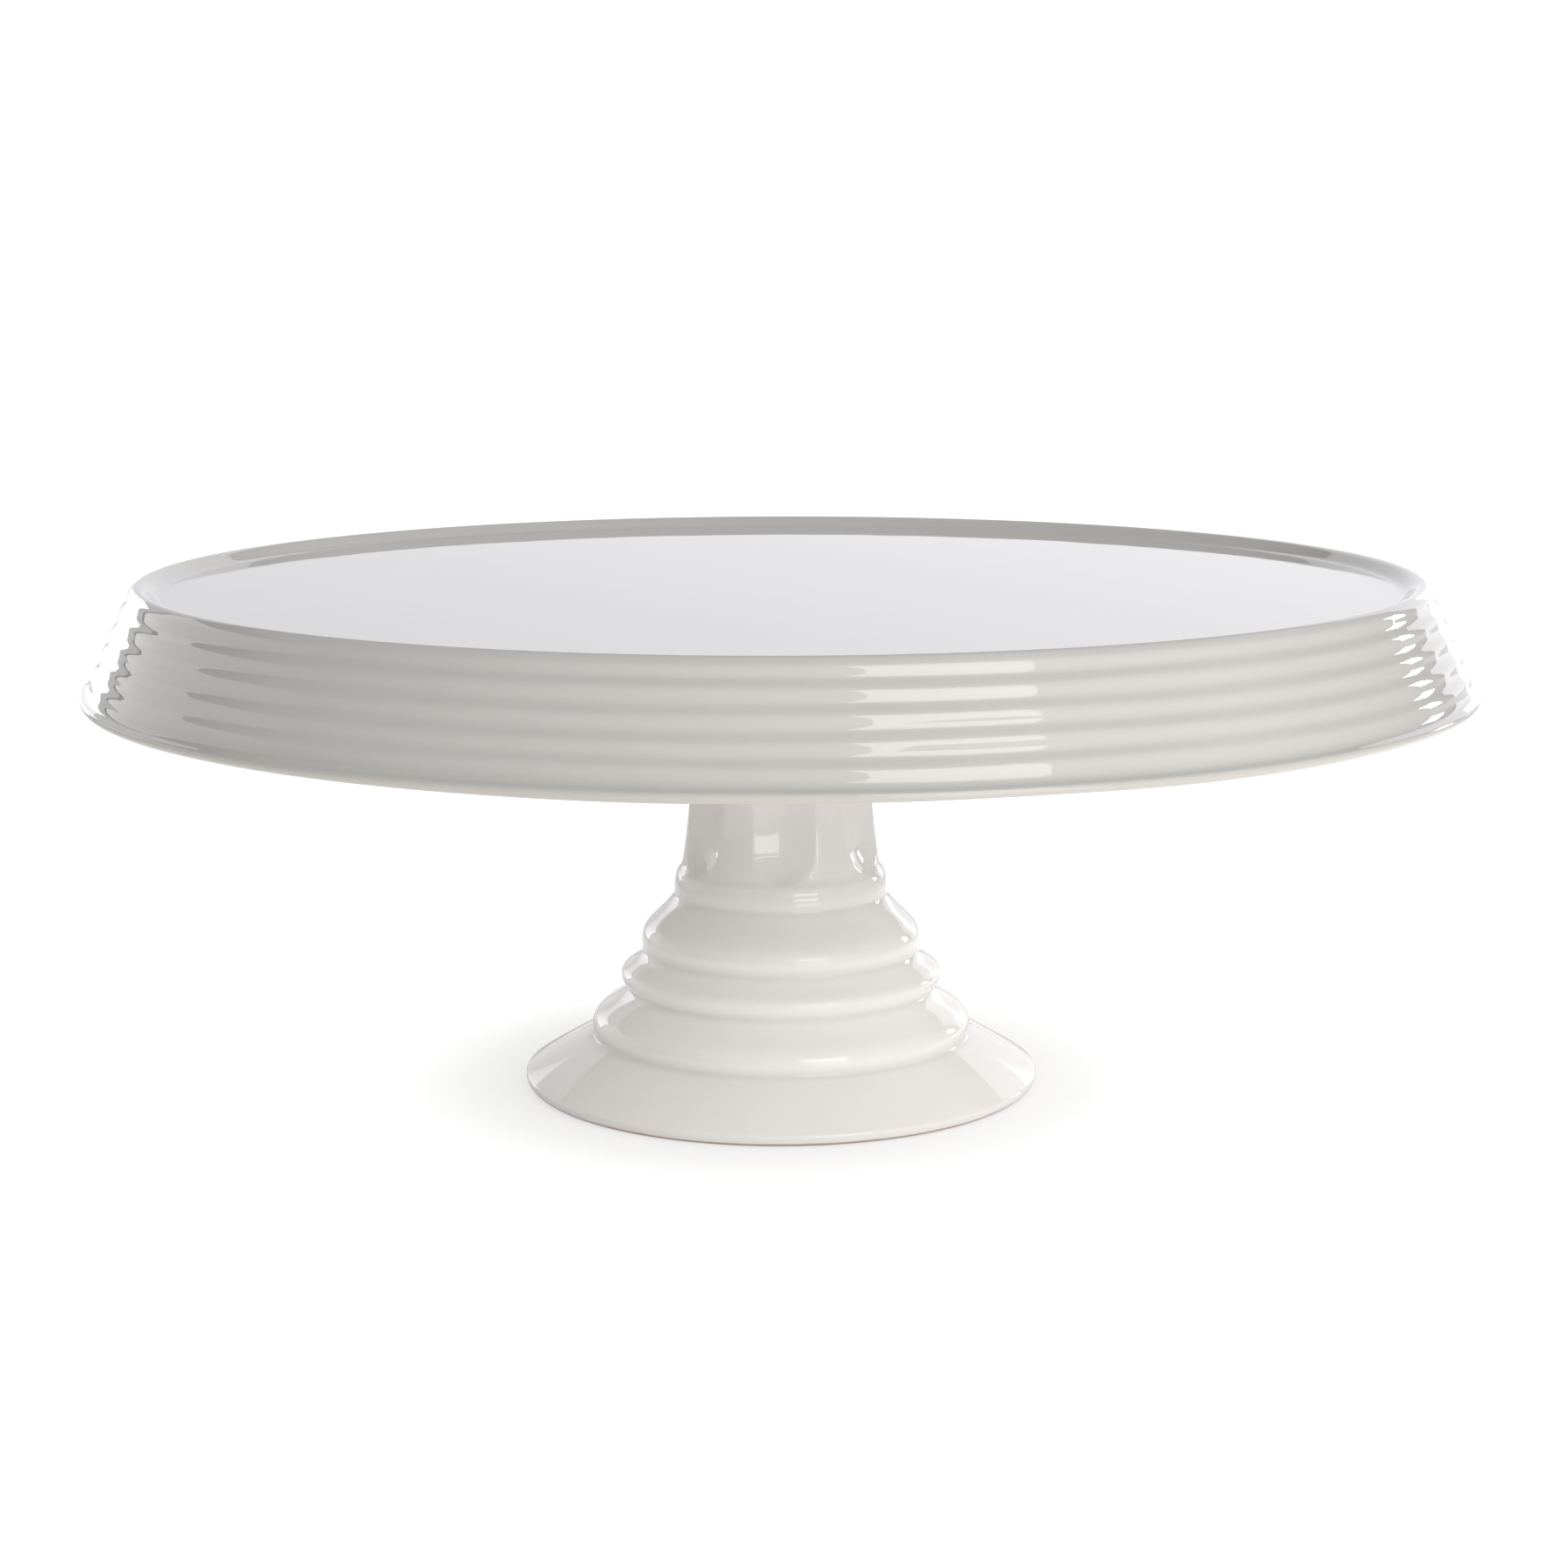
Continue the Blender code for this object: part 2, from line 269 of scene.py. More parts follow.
def lifted(start, end, steps, lift):
    """Points from start down to end, each moved outward by lift(share of the way)."""
    along = Vector(end) - Vector(start)
    outward = Vector((-along.y, along.x)).normalized()
    points = []
    for i in range(1, steps + 1):
        share = i / steps
        point = Vector(start) + along * share + outward * lift(share)
        points.append((point.x, point.y))
    return points


def swell(start, end, belly, lean=1.0, steps=PLAIN_CURVE):
    """Points from start down to end, with a rounded belly that may lean downwards."""
    return lifted(start, end, steps, lambda share: belly * math.sin(math.pi * share ** lean))


def ripple(start, end):
    """Points of one soft wave down from start to end, its ridge above and its hollow below."""
    return lifted(start, end, FINE_CURVE, lambda share: RIPPLE / 2 * math.sin(2 * math.pi * share))


def fillet(start, corner, end, steps):
    """Points of a curve that leaves start towards the corner and reaches end from it."""
    points = []
    for i in range(steps + 1):
        share = i / steps
        blend = ((1 - share) ** 2, 2 * share * (1 - share), share ** 2)
        points.append(tuple(
            blend[0] * a + blend[1] * b + blend[2] * c for a, b, c in zip(start, corner, end)))
    return points


def resampled(points, spacing):
    """The same line with a point every spacing, ends kept."""
    lengths = [0.0]
    for first, second in zip(points, points[1:]):
        lengths.append(lengths[-1] + math.dist(first, second))
    count = max(2, round(lengths[-1] / spacing))
    result = []
    at = 0
    for i in range(count + 1):
        wanted = lengths[-1] * i / count
        while at < len(points) - 2 and lengths[at + 1] < wanted:
            at += 1
        span = lengths[at + 1] - lengths[at]
        share = (wanted - lengths[at]) / span if span > 0 else 0
        low, high = points[at], points[at + 1]
        result.append((low[0] + (high[0] - low[0]) * share, low[1] + (high[1] - low[1]) * share))
    return result


def softened(points, radius):
    """An open line with its corners rounded as a coat of glaze rounds them."""
    line = resampled(points, SAMPLE)
    reach = max(1, round(GLAZE_REACH * radius / SAMPLE))
    weights = [math.exp(-0.5 * (i * SAMPLE / radius) ** 2) for i in range(-reach, reach + 1)]
    result = []
    for i in range(len(line)):
        span = min(reach, i, len(line) - 1 - i)
        total, across, up = 0.0, 0.0, 0.0
        for j in range(-span, span + 1):
            weight = weights[j + reach]
            total += weight
            across += weight * line[i + j][0]
            up += weight * line[i + j][1]
        result.append((across / total, up / total))
    return result


def thinned(points, longest):
    """A line with fewer points where it runs straight: longest(point) is the widest gap allowed."""
    kept = [points[0]]
    turned = 0.0
    for before, here, after in zip(points, points[1:], points[2:]):
        first = math.atan2(here[1] - before[1], here[0] - before[0])
        second = math.atan2(after[1] - here[1], after[0] - here[0])
        turned += abs((second - first + math.pi) % (2 * math.pi) - math.pi)
        if turned >= TURN_PER_ROW or math.dist(kept[-1], here) >= longest(here):
            kept.append(here)
            turned = 0.0
    kept.append(points[-1])
    return kept


def ripple_starts():
    """Radius and height where each ripple of the skirt starts, on a straight cone."""
    first, last = Vector(RIPPLE_FIRST), Vector(RIPPLE_LAST)
    return [tuple(first.lerp(last, i / (RIPPLE_COUNT - 1))) for i in range(RIPPLE_COUNT)]


def plate_section():
    """Half section of the plate, from the centre of the deck to the centre of its underside."""
    crest_radius = WIDEST - LIP_INSET
    points = [(0, DECK)]
    for i in range(PLAIN_CURVE + 1):
        share = i / PLAIN_CURVE
        rise = share ** 3 * (10 + share * (6 * share - 15))
        points.append((crest_radius - LIP_WIDTH * (1 - share), DECK + (CREST - DECK) * rise))
    points += arc((crest_radius, CREST - LIP_RADIUS), LIP_RADIUS, LIP_TURN, SMALL_TURN)
    starts = ripple_starts()
    for start, end in zip([points[-1]] + starts, starts):
        points += ripple(start, end)
    edge_height = SKIRT_EDGE + EDGE_RADIUS
    points += arc((WIDEST - EDGE_RADIUS, edge_height), EDGE_RADIUS, OUTER_EDGE_TURN, QUARTER_TURN)
    inner_edge = WIDEST - SKIRT_WALL
    points += arc((inner_edge + EDGE_RADIUS, edge_height), EDGE_RADIUS, INNER_EDGE_TURN, SMALL_TURN)
    lean = (starts[-1][0] - starts[0][0]) / (starts[0][1] - starts[-1][1])
    corner = inner_edge - lean * (UNDERSIDE - SKIRT_EDGE)
    on_skirt = (corner + lean * SKIRT_FILLET, UNDERSIDE - SKIRT_FILLET)
    points += fillet(on_skirt, (corner, UNDERSIDE), (corner - SKIRT_FILLET, UNDERSIDE), QUARTER_TURN)
    seat_outer = NECK_TOP_RADIUS + CLEARANCE
    seat_inner = NECK_TOP_RADIUS - PEDESTAL_WALL - CLEARANCE
    points += [(seat_outer, UNDERSIDE), (seat_outer, UNDERSIDE + SEAT_DEPTH)]
    points += [(seat_inner, UNDERSIDE + SEAT_DEPTH), (seat_inner, UNDERSIDE), (0, UNDERSIDE)]
    return thinned(softened(points, GLAZE_RADIUS), lambda point: MOST_ROW)


def neck_radius(height):
    """Plain outer radius of the waisted neck."""
    waist, waist_height = NECK_WAIST
    if height < waist_height:
        share = (waist_height - height) / (waist_height - NECK_FOOT[1])
        return waist + (NECK_FOOT[0] - waist) * share ** 2
    share = (height - waist_height) / (UNDERSIDE - waist_height)
    return waist + (NECK_TOP_RADIUS - waist) * share ** 2


def outside_neck(point):
    """Whether a point of the pedestal's section is on its outer face, where the neck is."""
    return point[0] > neck_radius(max(point[1], NECK_FOOT[1])) - PEDESTAL_WALL / 2


def pedestal_section():
    """Open line down the outside of the pedestal, across its foot ring and back up its inside."""
    points = [(NECK_TOP_RADIUS, NECK_TOP)]
    for i in range(NECK_CURVE + 1):
        height = UNDERSIDE + (NECK_FOOT[1] - UNDERSIDE) * i / NECK_CURVE
        points.append((neck_radius(height), height))
    points += swell(points[-1], BEAD, -BEAD_BELLY)
    points += swell(points[-1], COLLAR, BEAD_BELLY)
    for radius, height, belly in STEPS:
        points += swell(points[-1], (radius, height), belly, STEP_LEAN, FINE_CURVE)
    points += swell(points[-1], (FOOT, FOOT_EDGE), FLANK_BELLY)
    for i in range(1, QUARTER_TURN + 1):
        angle = math.pi / 2 * i / QUARTER_TURN
        turned_in = FOOT_UNDERCUT * (1 - math.cos(angle))
        points.append((FOOT - turned_in, FOOT_EDGE * (1 - math.sin(angle))))
    mouth = FOOT - FOOT_UNDERCUT - FOOT_RING_WIDTH
    points += [(mouth, 0), (mouth - FOOT_HOLLOW_RISE / 2, FOOT_HOLLOW_RISE)]
    for radius, height, _ in reversed(STEPS):
        points.append((radius - PEDESTAL_WALL, height))
    points.append((COLLAR[0] - PEDESTAL_WALL, COLLAR[1]))
    for height in (NECK_FOOT[1], NECK_WAIST[1], UNDERSIDE):
        points.append((neck_radius(height) - PEDESTAL_WALL, height))
    points.append((NECK_TOP_RADIUS - PEDESTAL_WALL, NECK_TOP))

    def longest(point):
        fluted = FLUTE_BOTTOM - FLUTE_MARGIN < point[1] < FLUTE_TOP + FLUTE_MARGIN
        return NECK_ROW if fluted and outside_neck(point) else MOST_ROW

    return thinned(softened(points, GLAZE_RADIUS), longest)


def seam_section():
    """Closed half section of the slip ring, a hollow fillet between the neck and the plate."""
    top = UNDERSIDE - CLEARANCE
    bottom = top - SEAM_HEIGHT
    inner = NECK_TOP_RADIUS + CLEARANCE
    outer = inner + SEAM_WIDTH
    points = [(inner, top), (outer, top)]
    for i in range(QUARTER_TURN + 1):
        angle = math.pi / 2 * i / QUARTER_TURN
        across = outer - (SEAM_WIDTH - SEAM_LAND) * math.sin(angle)
        points.append((across, bottom + (SEAM_HEIGHT - SEAM_LAND) * math.cos(angle)))
    points.append((neck_radius(bottom) + CLEARANCE, bottom))
    return points


# ---------------------------------------------------------------- node helpers

def plug(tree, socket, value):
    """Links a socket to an input, or sets the input to a plain value."""
    if isinstance(value, bpy.types.NodeSocket):
        tree.links.new(value, socket)
    else:
        socket.default_value = value


def feed(tree, node, **values):
    """Sets or links a node's inputs, by name with _ for a space."""
    for name, value in values.items():
        plug(tree, node.inputs[name.replace("_", " ")], value)
    return node


def new_node(tree, kind, settings=None, **values):
    """A node with its own settings and its inputs."""
    node = tree.nodes.new(kind)
    for name, value in (settings or {}).items():
        setattr(node, name, value)
    return feed(tree, node, **values)


def new_socket(tree, name, kind, default=None, output=False):
    """An input of a node group, or an output."""
    direction = "OUTPUT" if output else "INPUT"
    socket = tree.interface.new_socket(name=name, in_out=direction, socket_type="NodeSocket" + kind)
    if default is not None:
        socket.default_value = default


def calc(tree, operation, *values, clamp=False):
    """A Math node on sockets or plain numbers, and its result."""
    node = new_node(tree, "ShaderNodeMath", {"operation": operation, "use_clamp": clamp})
    for socket, value in zip(node.inputs, values):
        plug(tree, socket, value)
    return node.outputs[0]


def product(tree, *values):
    """The product of some sockets or numbers."""
    result = values[0]
    for value in values[1:]:
        result = calc(tree, "MULTIPLY", result, value)
    return result


def mixed(tree, kind, share, first, second):
    """A blend from first to second: kind is FLOAT for numbers and RGBA for colours."""
    node = new_node(tree, "ShaderNodeMix", {"data_type": kind})
    factor, low, high, result = {"FLOAT": (0, 2, 3, 0), "RGBA": (0, 6, 7, 2)}[kind]
    for at, value in ((factor, share), (low, first), (high, second)):
        plug(tree, node.inputs[at], value)
    return node.outputs[result]


def eased(tree, value, start, end, low, high):
    """A number that goes smoothly from low to high while value goes from start to end."""
    node = new_node(tree, "ShaderNodeMapRange", {"interpolation_type": "SMOOTHSTEP"}, Value=value)
    feed(tree, node, From_Min=start, From_Max=end, To_Min=low, To_Max=high)
    return node.outputs["Result"]


def vector_math(tree, operation, *values):
    """A Vector Math node on sockets or plain vectors."""
    node = new_node(tree, "ShaderNodeVectorMath", {"operation": operation})
    for socket, value in zip(node.inputs, values):
        plug(tree, socket, value)
    return node


def axes(tree, vector):
    """The X, Y and Z of a vector, by name."""
    return new_node(tree, "ShaderNodeSeparateXYZ", Vector=vector).outputs


# ---------------------------------------------------------------- turning

def flute_share(tree, given, angle, radius, height):
    """How deep the neck is cut here: each flute is a round trough with round ends."""
    width = given["Flute Half Width"]
    pitch = calc(tree, "DIVIDE", 2 * math.pi, given["Flutes"])
    half_pitch = calc(tree, "MULTIPLY", pitch, 0.5)
    from_front = calc(tree, "ADD", calc(tree, "SUBTRACT", angle, given["Flute Front"]), half_pitch)
    wrapped = calc(tree, "SUBTRACT", calc(tree, "FLOORED_MODULO", from_front, pitch), half_pitch)
    across = calc(tree, "MULTIPLY", wrapped, radius)
    below = calc(tree, "SUBTRACT", calc(tree, "ADD", given["Flute Bottom"], width), height)
    above = calc(tree, "SUBTRACT", height, calc(tree, "SUBTRACT", given["Flute Top"], width))
    beyond = calc(tree, "MAXIMUM", calc(tree, "MAXIMUM", below, above), 0)
    across_squared, beyond_squared = (calc(tree, "MULTIPLY", way, way) for way in (across, beyond))
    away = calc(tree, "ADD", across_squared, beyond_squared)
    inside = calc(tree, "SUBTRACT", 1, calc(tree, "DIVIDE", away, calc(tree, "MULTIPLY", width, width)))
    squared = calc(tree, "ADD", calc(tree, "MULTIPLY", inside, inside), FLUTE_SOFTNESS)
    return calc(tree, "MULTIPLY", calc(tree, "ADD", inside, calc(tree, "SQRT", squared)), 0.5)


def drift_noise(tree, given, cosine, sine, height):
    """Slow waves round the piece that differ a little from row to row, as two numbers from -1 to 1."""
    place = new_node(
        tree, "ShaderNodeCombineXYZ",
        X=calc(tree, "MULTIPLY", cosine, given["Drift Waves"]),
        Y=calc(tree, "MULTIPLY", sine, given["Drift Waves"]),
        Z=calc(tree, "MULTIPLY", height, given["Drift Rows"]))
    noise = new_node(tree, "ShaderNodeTexNoise", {"noise_dimensions": "4D"}, Vector=place.outputs[0])
    feed(tree, noise, W=given["Seed"], Scale=1.0, Detail=1.0)
    parts = axes(tree, noise.outputs["Color"])
    return [calc(tree, "MULTIPLY", calc(tree, "SUBTRACT", parts[way], 0.5), 2) for way in "XY"]


def turned_ware():
    """Geometry nodes that turn a half section about Z, with the drift of hand turning, and flutes."""
    tree = bpy.data.node_groups.new("turned_ware", "GeometryNodeTree")
    for name, kind, default in (
        ("Section", "Geometry", None), ("Segments", "Int", 256), ("Closed Section", "Int", 0),
        ("Drift Height", "Float", 0.0), ("Drift Radius", "Float", 0.0),
        ("Drift Waves", "Float", 1.0), ("Drift Rows", "Float", 100.0), ("Seed", "Float", 0.0),
        ("Flutes", "Int", 6), ("Flute Depth", "Float", 0.0), ("Flute Half Width", "Float", 0.01),
        ("Flute Bottom", "Float", 0.0), ("Flute Top", "Float", 0.1), ("Flute Front", "Float", 0.0),
        ("Glaze", "Material", None),
    ):
        new_socket(tree, name, kind, default)
    new_socket(tree, "Geometry", "Geometry", output=True)
    given = tree.nodes.new("NodeGroupInput").outputs

    # a grid with one row for each point of the section and one column for each step round
    size = new_node(
        tree, "GeometryNodeAttributeDomainSize", {"component": "MESH"}, Geometry=given["Section"])
    rows = calc(tree, "ADD", size.outputs["Point Count"], given["Closed Section"])
    columns = calc(tree, "ADD", given["Segments"], 1)
    grid = new_node(tree, "GeometryNodeMeshGrid", Vertices_X=rows, Vertices_Y=columns)
    index = tree.nodes.new("GeometryNodeInputIndex").outputs[0]
    row = calc(tree, "FLOOR", calc(tree, "DIVIDE", calc(tree, "ADD", index, 0.5), columns))
    column = calc(tree, "SUBTRACT", index, calc(tree, "MULTIPLY", row, columns))
    row = calc(tree, "MODULO", row, size.outputs["Point Count"])
    angle = calc(tree, "MULTIPLY", calc(tree, "DIVIDE", column, given["Segments"]), 2 * math.pi)
    cosine, sine = calc(tree, "COSINE", angle), calc(tree, "SINE", angle)

    def at_row(kind, value):
        """A value of the section's point that this row belongs to."""
        pick = new_node(tree, "GeometryNodeSampleIndex", {"data_type": kind, "domain": "POINT"})
        return feed(tree, pick, Geometry=given["Section"], Value=value, Index=row).outputs[0]

    def stored(name):
        """One of the section's own attributes, at this row."""
        read = new_node(tree, "GeometryNodeInputNamedAttribute", {"data_type": "FLOAT"}, Name=name)
        return at_row("FLOAT", read.outputs["Attribute"])

    position = tree.nodes.new("GeometryNodeInputPosition").outputs[0]
    place = axes(tree, at_row("FLOAT_VECTOR", position))
    radius, height = place["X"], place["Z"]
    cut = calc(tree, "MULTIPLY", flute_share(tree, given, angle, radius, height), stored("fluted"))
    radius = calc(tree, "SUBTRACT", radius, calc(tree, "MULTIPLY", cut, given["Flute Depth"]))
    up, out = drift_noise(tree, given, cosine, sine, height)
    loose = stored("loose")
    height = calc(tree, "ADD", height, product(tree, up, given["Drift Height"], loose))
    radius = calc(tree, "ADD", radius, product(tree, out, given["Drift Radius"], loose))
    spot = new_node(
        tree, "ShaderNodeCombineXYZ",
        X=calc(tree, "MULTIPLY", radius, cosine), Y=calc(tree, "MULTIPLY", radius, sine), Z=height)

    ware = new_node(
        tree, "GeometryNodeSetPosition", Geometry=grid.outputs["Mesh"], Position=spot.outputs[0])
    # each row keeps its share of the darker colour: gathered glaze and painted shade
    ware = new_node(
        tree, "GeometryNodeStoreNamedAttribute", {"data_type": "FLOAT", "domain": "POINT"},
        Geometry=ware.outputs[0], Name="pool_and_shade", Value=stored("pool_and_shade"))
    ware = new_node(
        tree, "GeometryNodeMergeByDistance", Geometry=ware.outputs[0], Distance=MERGE_DISTANCE)
    ware = new_node(tree, "GeometryNodeSetShadeSmooth", Geometry=ware.outputs[0])
    ware = new_node(tree, "GeometryNodeRealizeInstances", Geometry=ware.outputs[0])
    ware = new_node(tree, "GeometryNodeSetMaterial", Geometry=ware.outputs[0], Material=given["Glaze"])
    new_node(tree, "NodeGroupOutput", Geometry=ware.outputs[0])
    return tree


def turned_piece(name, tree, section, values, inputs):
    """A finished piece: the section as a line of points, turned by the tree and made a plain mesh."""
    mesh = bpy.data.meshes.new(name + "_section")
    mesh.from_pydata([(radius, 0, height) for radius, height in section], [], [])
    for attribute, function in values.items():
        layer = mesh.attributes.new(attribute, "FLOAT", "POINT")
        for i, point in enumerate(section):
            layer.data[i].value = function(point)
    guide = bpy.data.objects.new(name + "_section", mesh)
    bpy.context.scene.collection.objects.link(guide)
    turning = guide.modifiers.new("turning", "NODES")
    turning.node_group = tree
    for item in tree.interface.items_tree:
        if item.in_out == "INPUT" and item.name in inputs:
            turning[item.identifier] = inputs[item.name]
    bpy.context.view_layer.update()
    evaluated = guide.evaluated_get(bpy.context.evaluated_depsgraph_get())
    final = bpy.data.meshes.new_from_object(evaluated)
    final.name = name
    piece = bpy.data.objects.new(name, final)
    bpy.context.scene.collection.objects.link(piece)
    bpy.data.objects.remove(guide)
    return piece


# ---------------------------------------------------------------- pieces

def nowhere(point):
    """For what a piece doesn't have at any of its points."""
    return 0.0


def near(point, places, reach):
    """How close a point is to the nearest of some places: 1 at it, fading over the reach."""
    return max(math.exp(-(math.dist(point, place) / reach) ** 2) for place in places)


def clamped(value):
    """The value, kept between 0 and 1."""
    return min(1.0, max(0.0, value))


def plate_pool_and_shade(point):
    """How much darker colour the plate takes: gathered glaze and painted shade between two ripples, and
    painted shade along the skirt's lower edge.
    """
    between = near(point, ripple_starts(), RIPPLE_POOL_AND_SHADE_REACH)
    # painted shade along the skirt's lower edge
    at_edge = clamped(EDGE_SHADE_RISE - (point[1] - SKIRT_EDGE) / EDGE_RADIUS)
    return max(RIPPLE_POOL_AND_SHADE * between, at_edge)


def on_skirt(point):
    """Where the plate drifts: not on its deck and lip, and fully on its skirt."""
    return clamped((point[0] - (WIDEST - DRIFT_INSET)) / DRIFT_GROWS)


def pedestal_pool_and_shade(point):
    """How much darker colour the pedestal takes: gathered glaze and painted shade in the notches, and
    painted shade under the plate up to its neck.
    """
    notches = [COLLAR] + [(radius, height) for radius, height, _ in STEPS]
    low, high = NECK_SHADE_FROM
    share = clamped((point[1] - low) / (high - low))
    # painted shade under the plate, growing up to the neck
    neck_shade = share * share * (3 - 2 * share)
    return min(1.0, neck_shade + NOTCH_POOL_AND_SHADE * near(point, notches, NOTCH_POOL_AND_SHADE_REACH))


def on_neck(point):
    """Where the flutes may cut: the outer face of the neck."""
    return 1.0 if outside_neck(point) and FLUTE_BOTTOM - FLUTE_REACH < point[1] < UNDERSIDE else 0.0


def turned_plate(tree, glaze):
    """The cake plate: deck, lip and rippled skirt."""
    values = {"pool_and_shade": plate_pool_and_shade, "loose": on_skirt, "fluted": nowhere}
    return turned_piece("glazed_plate", tree, plate_section(), values, {
        "Segments": PLATE_SEGMENTS, "Glaze": glaze,
        "Drift Height": DRIFT_HEIGHT, "Drift Radius": DRIFT_RADIUS,
        "Drift Waves": DRIFT_WAVES, "Drift Rows": DRIFT_ROWS, "Seed": DRIFT_SEED,
    })


def turned_pedestal(tree, glaze):
    """The hollow pedestal: fluted neck, bead, steps, flank and foot ring."""
    values = {"pool_and_shade": pedestal_pool_and_shade, "loose": nowhere, "fluted": on_neck}
    return turned_piece("glazed_pedestal", tree, pedestal_section(), values, {
        "Segments": PEDESTAL_SEGMENTS, "Closed Section": 1, "Glaze": glaze,
        "Flutes": FLUTE_COUNT, "Flute Depth": FLUTE_DEPTH, "Flute Half Width": FLUTE_HALF_WIDTH,
        "Flute Bottom": FLUTE_BOTTOM, "Flute Top": FLUTE_TOP, "Flute Front": FLUTE_FRONT,
    })


def turned_seam(tree, glaze):
    """The ring of slip between the neck and the plate."""
    values = {"pool_and_shade": nowhere, "loose": nowhere, "fluted": nowhere}
    return turned_piece("slip_fillet", tree, seam_section(), values, {
        "Segments": SEAM_SEGMENTS, "Closed Section": 1, "Glaze": glaze,
    })


# ---------------------------------------------------------------- glazes

def centred_noise(tree, coordinates, scale, detail):
    """Noise about zero."""
    noise = new_node(tree, "ShaderNodeTexNoise", Vector=coordinates, Scale=scale, Detail=detail)
    return calc(tree, "SUBTRACT", noise.outputs[0], 0.5)


def new_group(name, inputs, outputs):
    """A shader node group, with what it is given and the node that takes its results."""
    tree = bpy.data.node_groups.new(name, "ShaderNodeTree")
    for socket in inputs:
        new_socket(tree, *socket)
    for socket in outputs:
        new_socket(tree, *socket, output=True)
    return tree, tree.nodes.new("NodeGroupInput").outputs, tree.nodes.new("NodeGroupOutput")


def glaze_skin_group():
    """Slow waves and fine orange peel of a fired glaze, as a height in metres and a roughness."""
    tree, given, result = new_group("glaze_skin", (
        ("Coordinates", "Vector"),
        ("Wave Spacing", "Float", 0.02), ("Wave Height", "Float", 0.00002),
        ("Peel Spacing", "Float", 0.001), ("Peel Height", "Float", 0.000001),
        ("Roughness", "Float", 0.05), ("Roughness Spread", "Float", 0.02),
    ), (("Height", "Float"), ("Roughness", "Float")))
    where = given["Coordinates"]
    heights = []
    for kind, detail in (("Wave", 1.0), ("Peel", 0.0)):
        scale = calc(tree, "DIVIDE", 1, given[kind + " Spacing"])
        noise = centred_noise(tree, where, scale, detail)
        heights.append(calc(tree, "MULTIPLY", noise, given[kind + " Height"]))
    patches = centred_noise(tree, where, PATCH_SCALE, 3.0)
    spread = calc(tree, "MULTIPLY", patches, given["Roughness Spread"])
    roughness = calc(tree, "ADD", given["Roughness"], spread)
    feed(tree, result, Height=calc(tree, "ADD", *heights), Roughness=roughness)
    return tree


def glaze_tint_group():
    """Colour of clear glaze over porcelain: the pale colour, turning to the dark one where glaze gathers
    and where shade is painted, faintly mottled.
    """
    tree, given, result = new_group("glaze_tint", (
        ("Coordinates", "Vector"),
        ("Thin Colour", "Color", (0.8, 0.8, 0.8, 1)), ("Pooled Colour", "Color", (0.7, 0.7, 0.7, 1)),
        ("Pool", "Float", 0.0), ("Mottle Spacing", "Float", 0.03), ("Mottle", "Float", 0.1),
    ), (("Color", "Color"),))
    scale = calc(tree, "DIVIDE", 1, given["Mottle Spacing"])
    noise = centred_noise(tree, given["Coordinates"], scale, 3.0)
    cloud = calc(tree, "MULTIPLY", noise, given["Mottle"])
    amount = calc(tree, "ADD", given["Pool"], cloud, clamp=True)
    feed(tree, result, Color=mixed(tree, "RGBA", amount, given["Thin Colour"], given["Pooled Colour"]))
    return tree


def pinhole_group():
    """Rare pits where a bubble burst in the glaze: a mask that is 1 at each pit's centre."""
    tree, given, result = new_group("glaze_pinholes", (
        ("Coordinates", "Vector"),
        ("Spacing", "Float", 0.012), ("Width", "Float", 0.0006), ("Share", "Float", 0.2),
    ), (("Mask", "Float"),))
    scale = calc(tree, "DIVIDE", 1, given["Spacing"])
    cells = new_node(
        tree, "ShaderNodeTexVoronoi", Vector=given["Coordinates"], Scale=scale, Randomness=1.0)
    distance = calc(tree, "MULTIPLY", cells.outputs["Distance"], given["Spacing"])
    reach = calc(tree, "DIVIDE", distance, given["Width"])
    pit = calc(tree, "SUBTRACT", 1, calc(tree, "MULTIPLY", reach, 2), clamp=True)
    chosen = new_node(tree, "ShaderNodeSeparateColor", Color=cells.outputs["Color"])
    present = calc(tree, "LESS_THAN", chosen.outputs["Red"], given["Share"])
    feed(tree, result, Mask=calc(tree, "MULTIPLY", pit, present))
    return tree


def use_group(tree, group, **values):
    """A node group placed in a material with its own values."""
    return feed(tree, new_node(tree, "ShaderNodeGroup", {"node_tree": group}), **values)


def glazed_porcelain(name, groups, pale_colour, dark_colour, skin):
    """A glaze material, and the sockets that a bare part of it would take over."""
    material = bpy.data.materials.new(name)
    material.use_nodes = True
    tree = material.node_tree
    shader = tree.nodes["Principled BSDF"]
    where = tree.nodes.new("ShaderNodeTexCoord").outputs["Object"]
    # share of the darker colour: glaze gathered in hollows, and painted shade
    pool_and_shade = new_node(tree, "ShaderNodeAttribute", {"attribute_name": "pool_and_shade"}).outputs["Fac"]
    tint = use_group(tree, groups["tint"], Coordinates=where, Pool=pool_and_shade)
    feed(tree, tint, Thin_Colour=pale_colour, Pooled_Colour=dark_colour, Mottle_Spacing=MOTTLE_SPACING, Mottle=MOTTLE)
    surface = use_group(tree, groups["skin"], Coordinates=where, **skin).outputs
    pits = use_group(tree, groups["pinholes"], Coordinates=where, **PINHOLES).outputs["Mask"]
    colour = mixed(tree, "RGBA", pits, tint.outputs["Color"], PINHOLE_COLOUR)
    relief = calc(tree, "ADD", surface["Height"], calc(tree, "MULTIPLY", pits, -PINHOLE_DEPTH))
    bump = new_node(tree, "ShaderNodeBump", Height=relief, Distance=1.0, Strength=1.0)
    feed(tree, shader, Base_Color=colour, Roughness=surface["Roughness"])
    feed(tree, shader, Normal=bump.outputs["Normal"], IOR=GLAZE_IOR)
    return material, where, colour, surface["Roughness"]


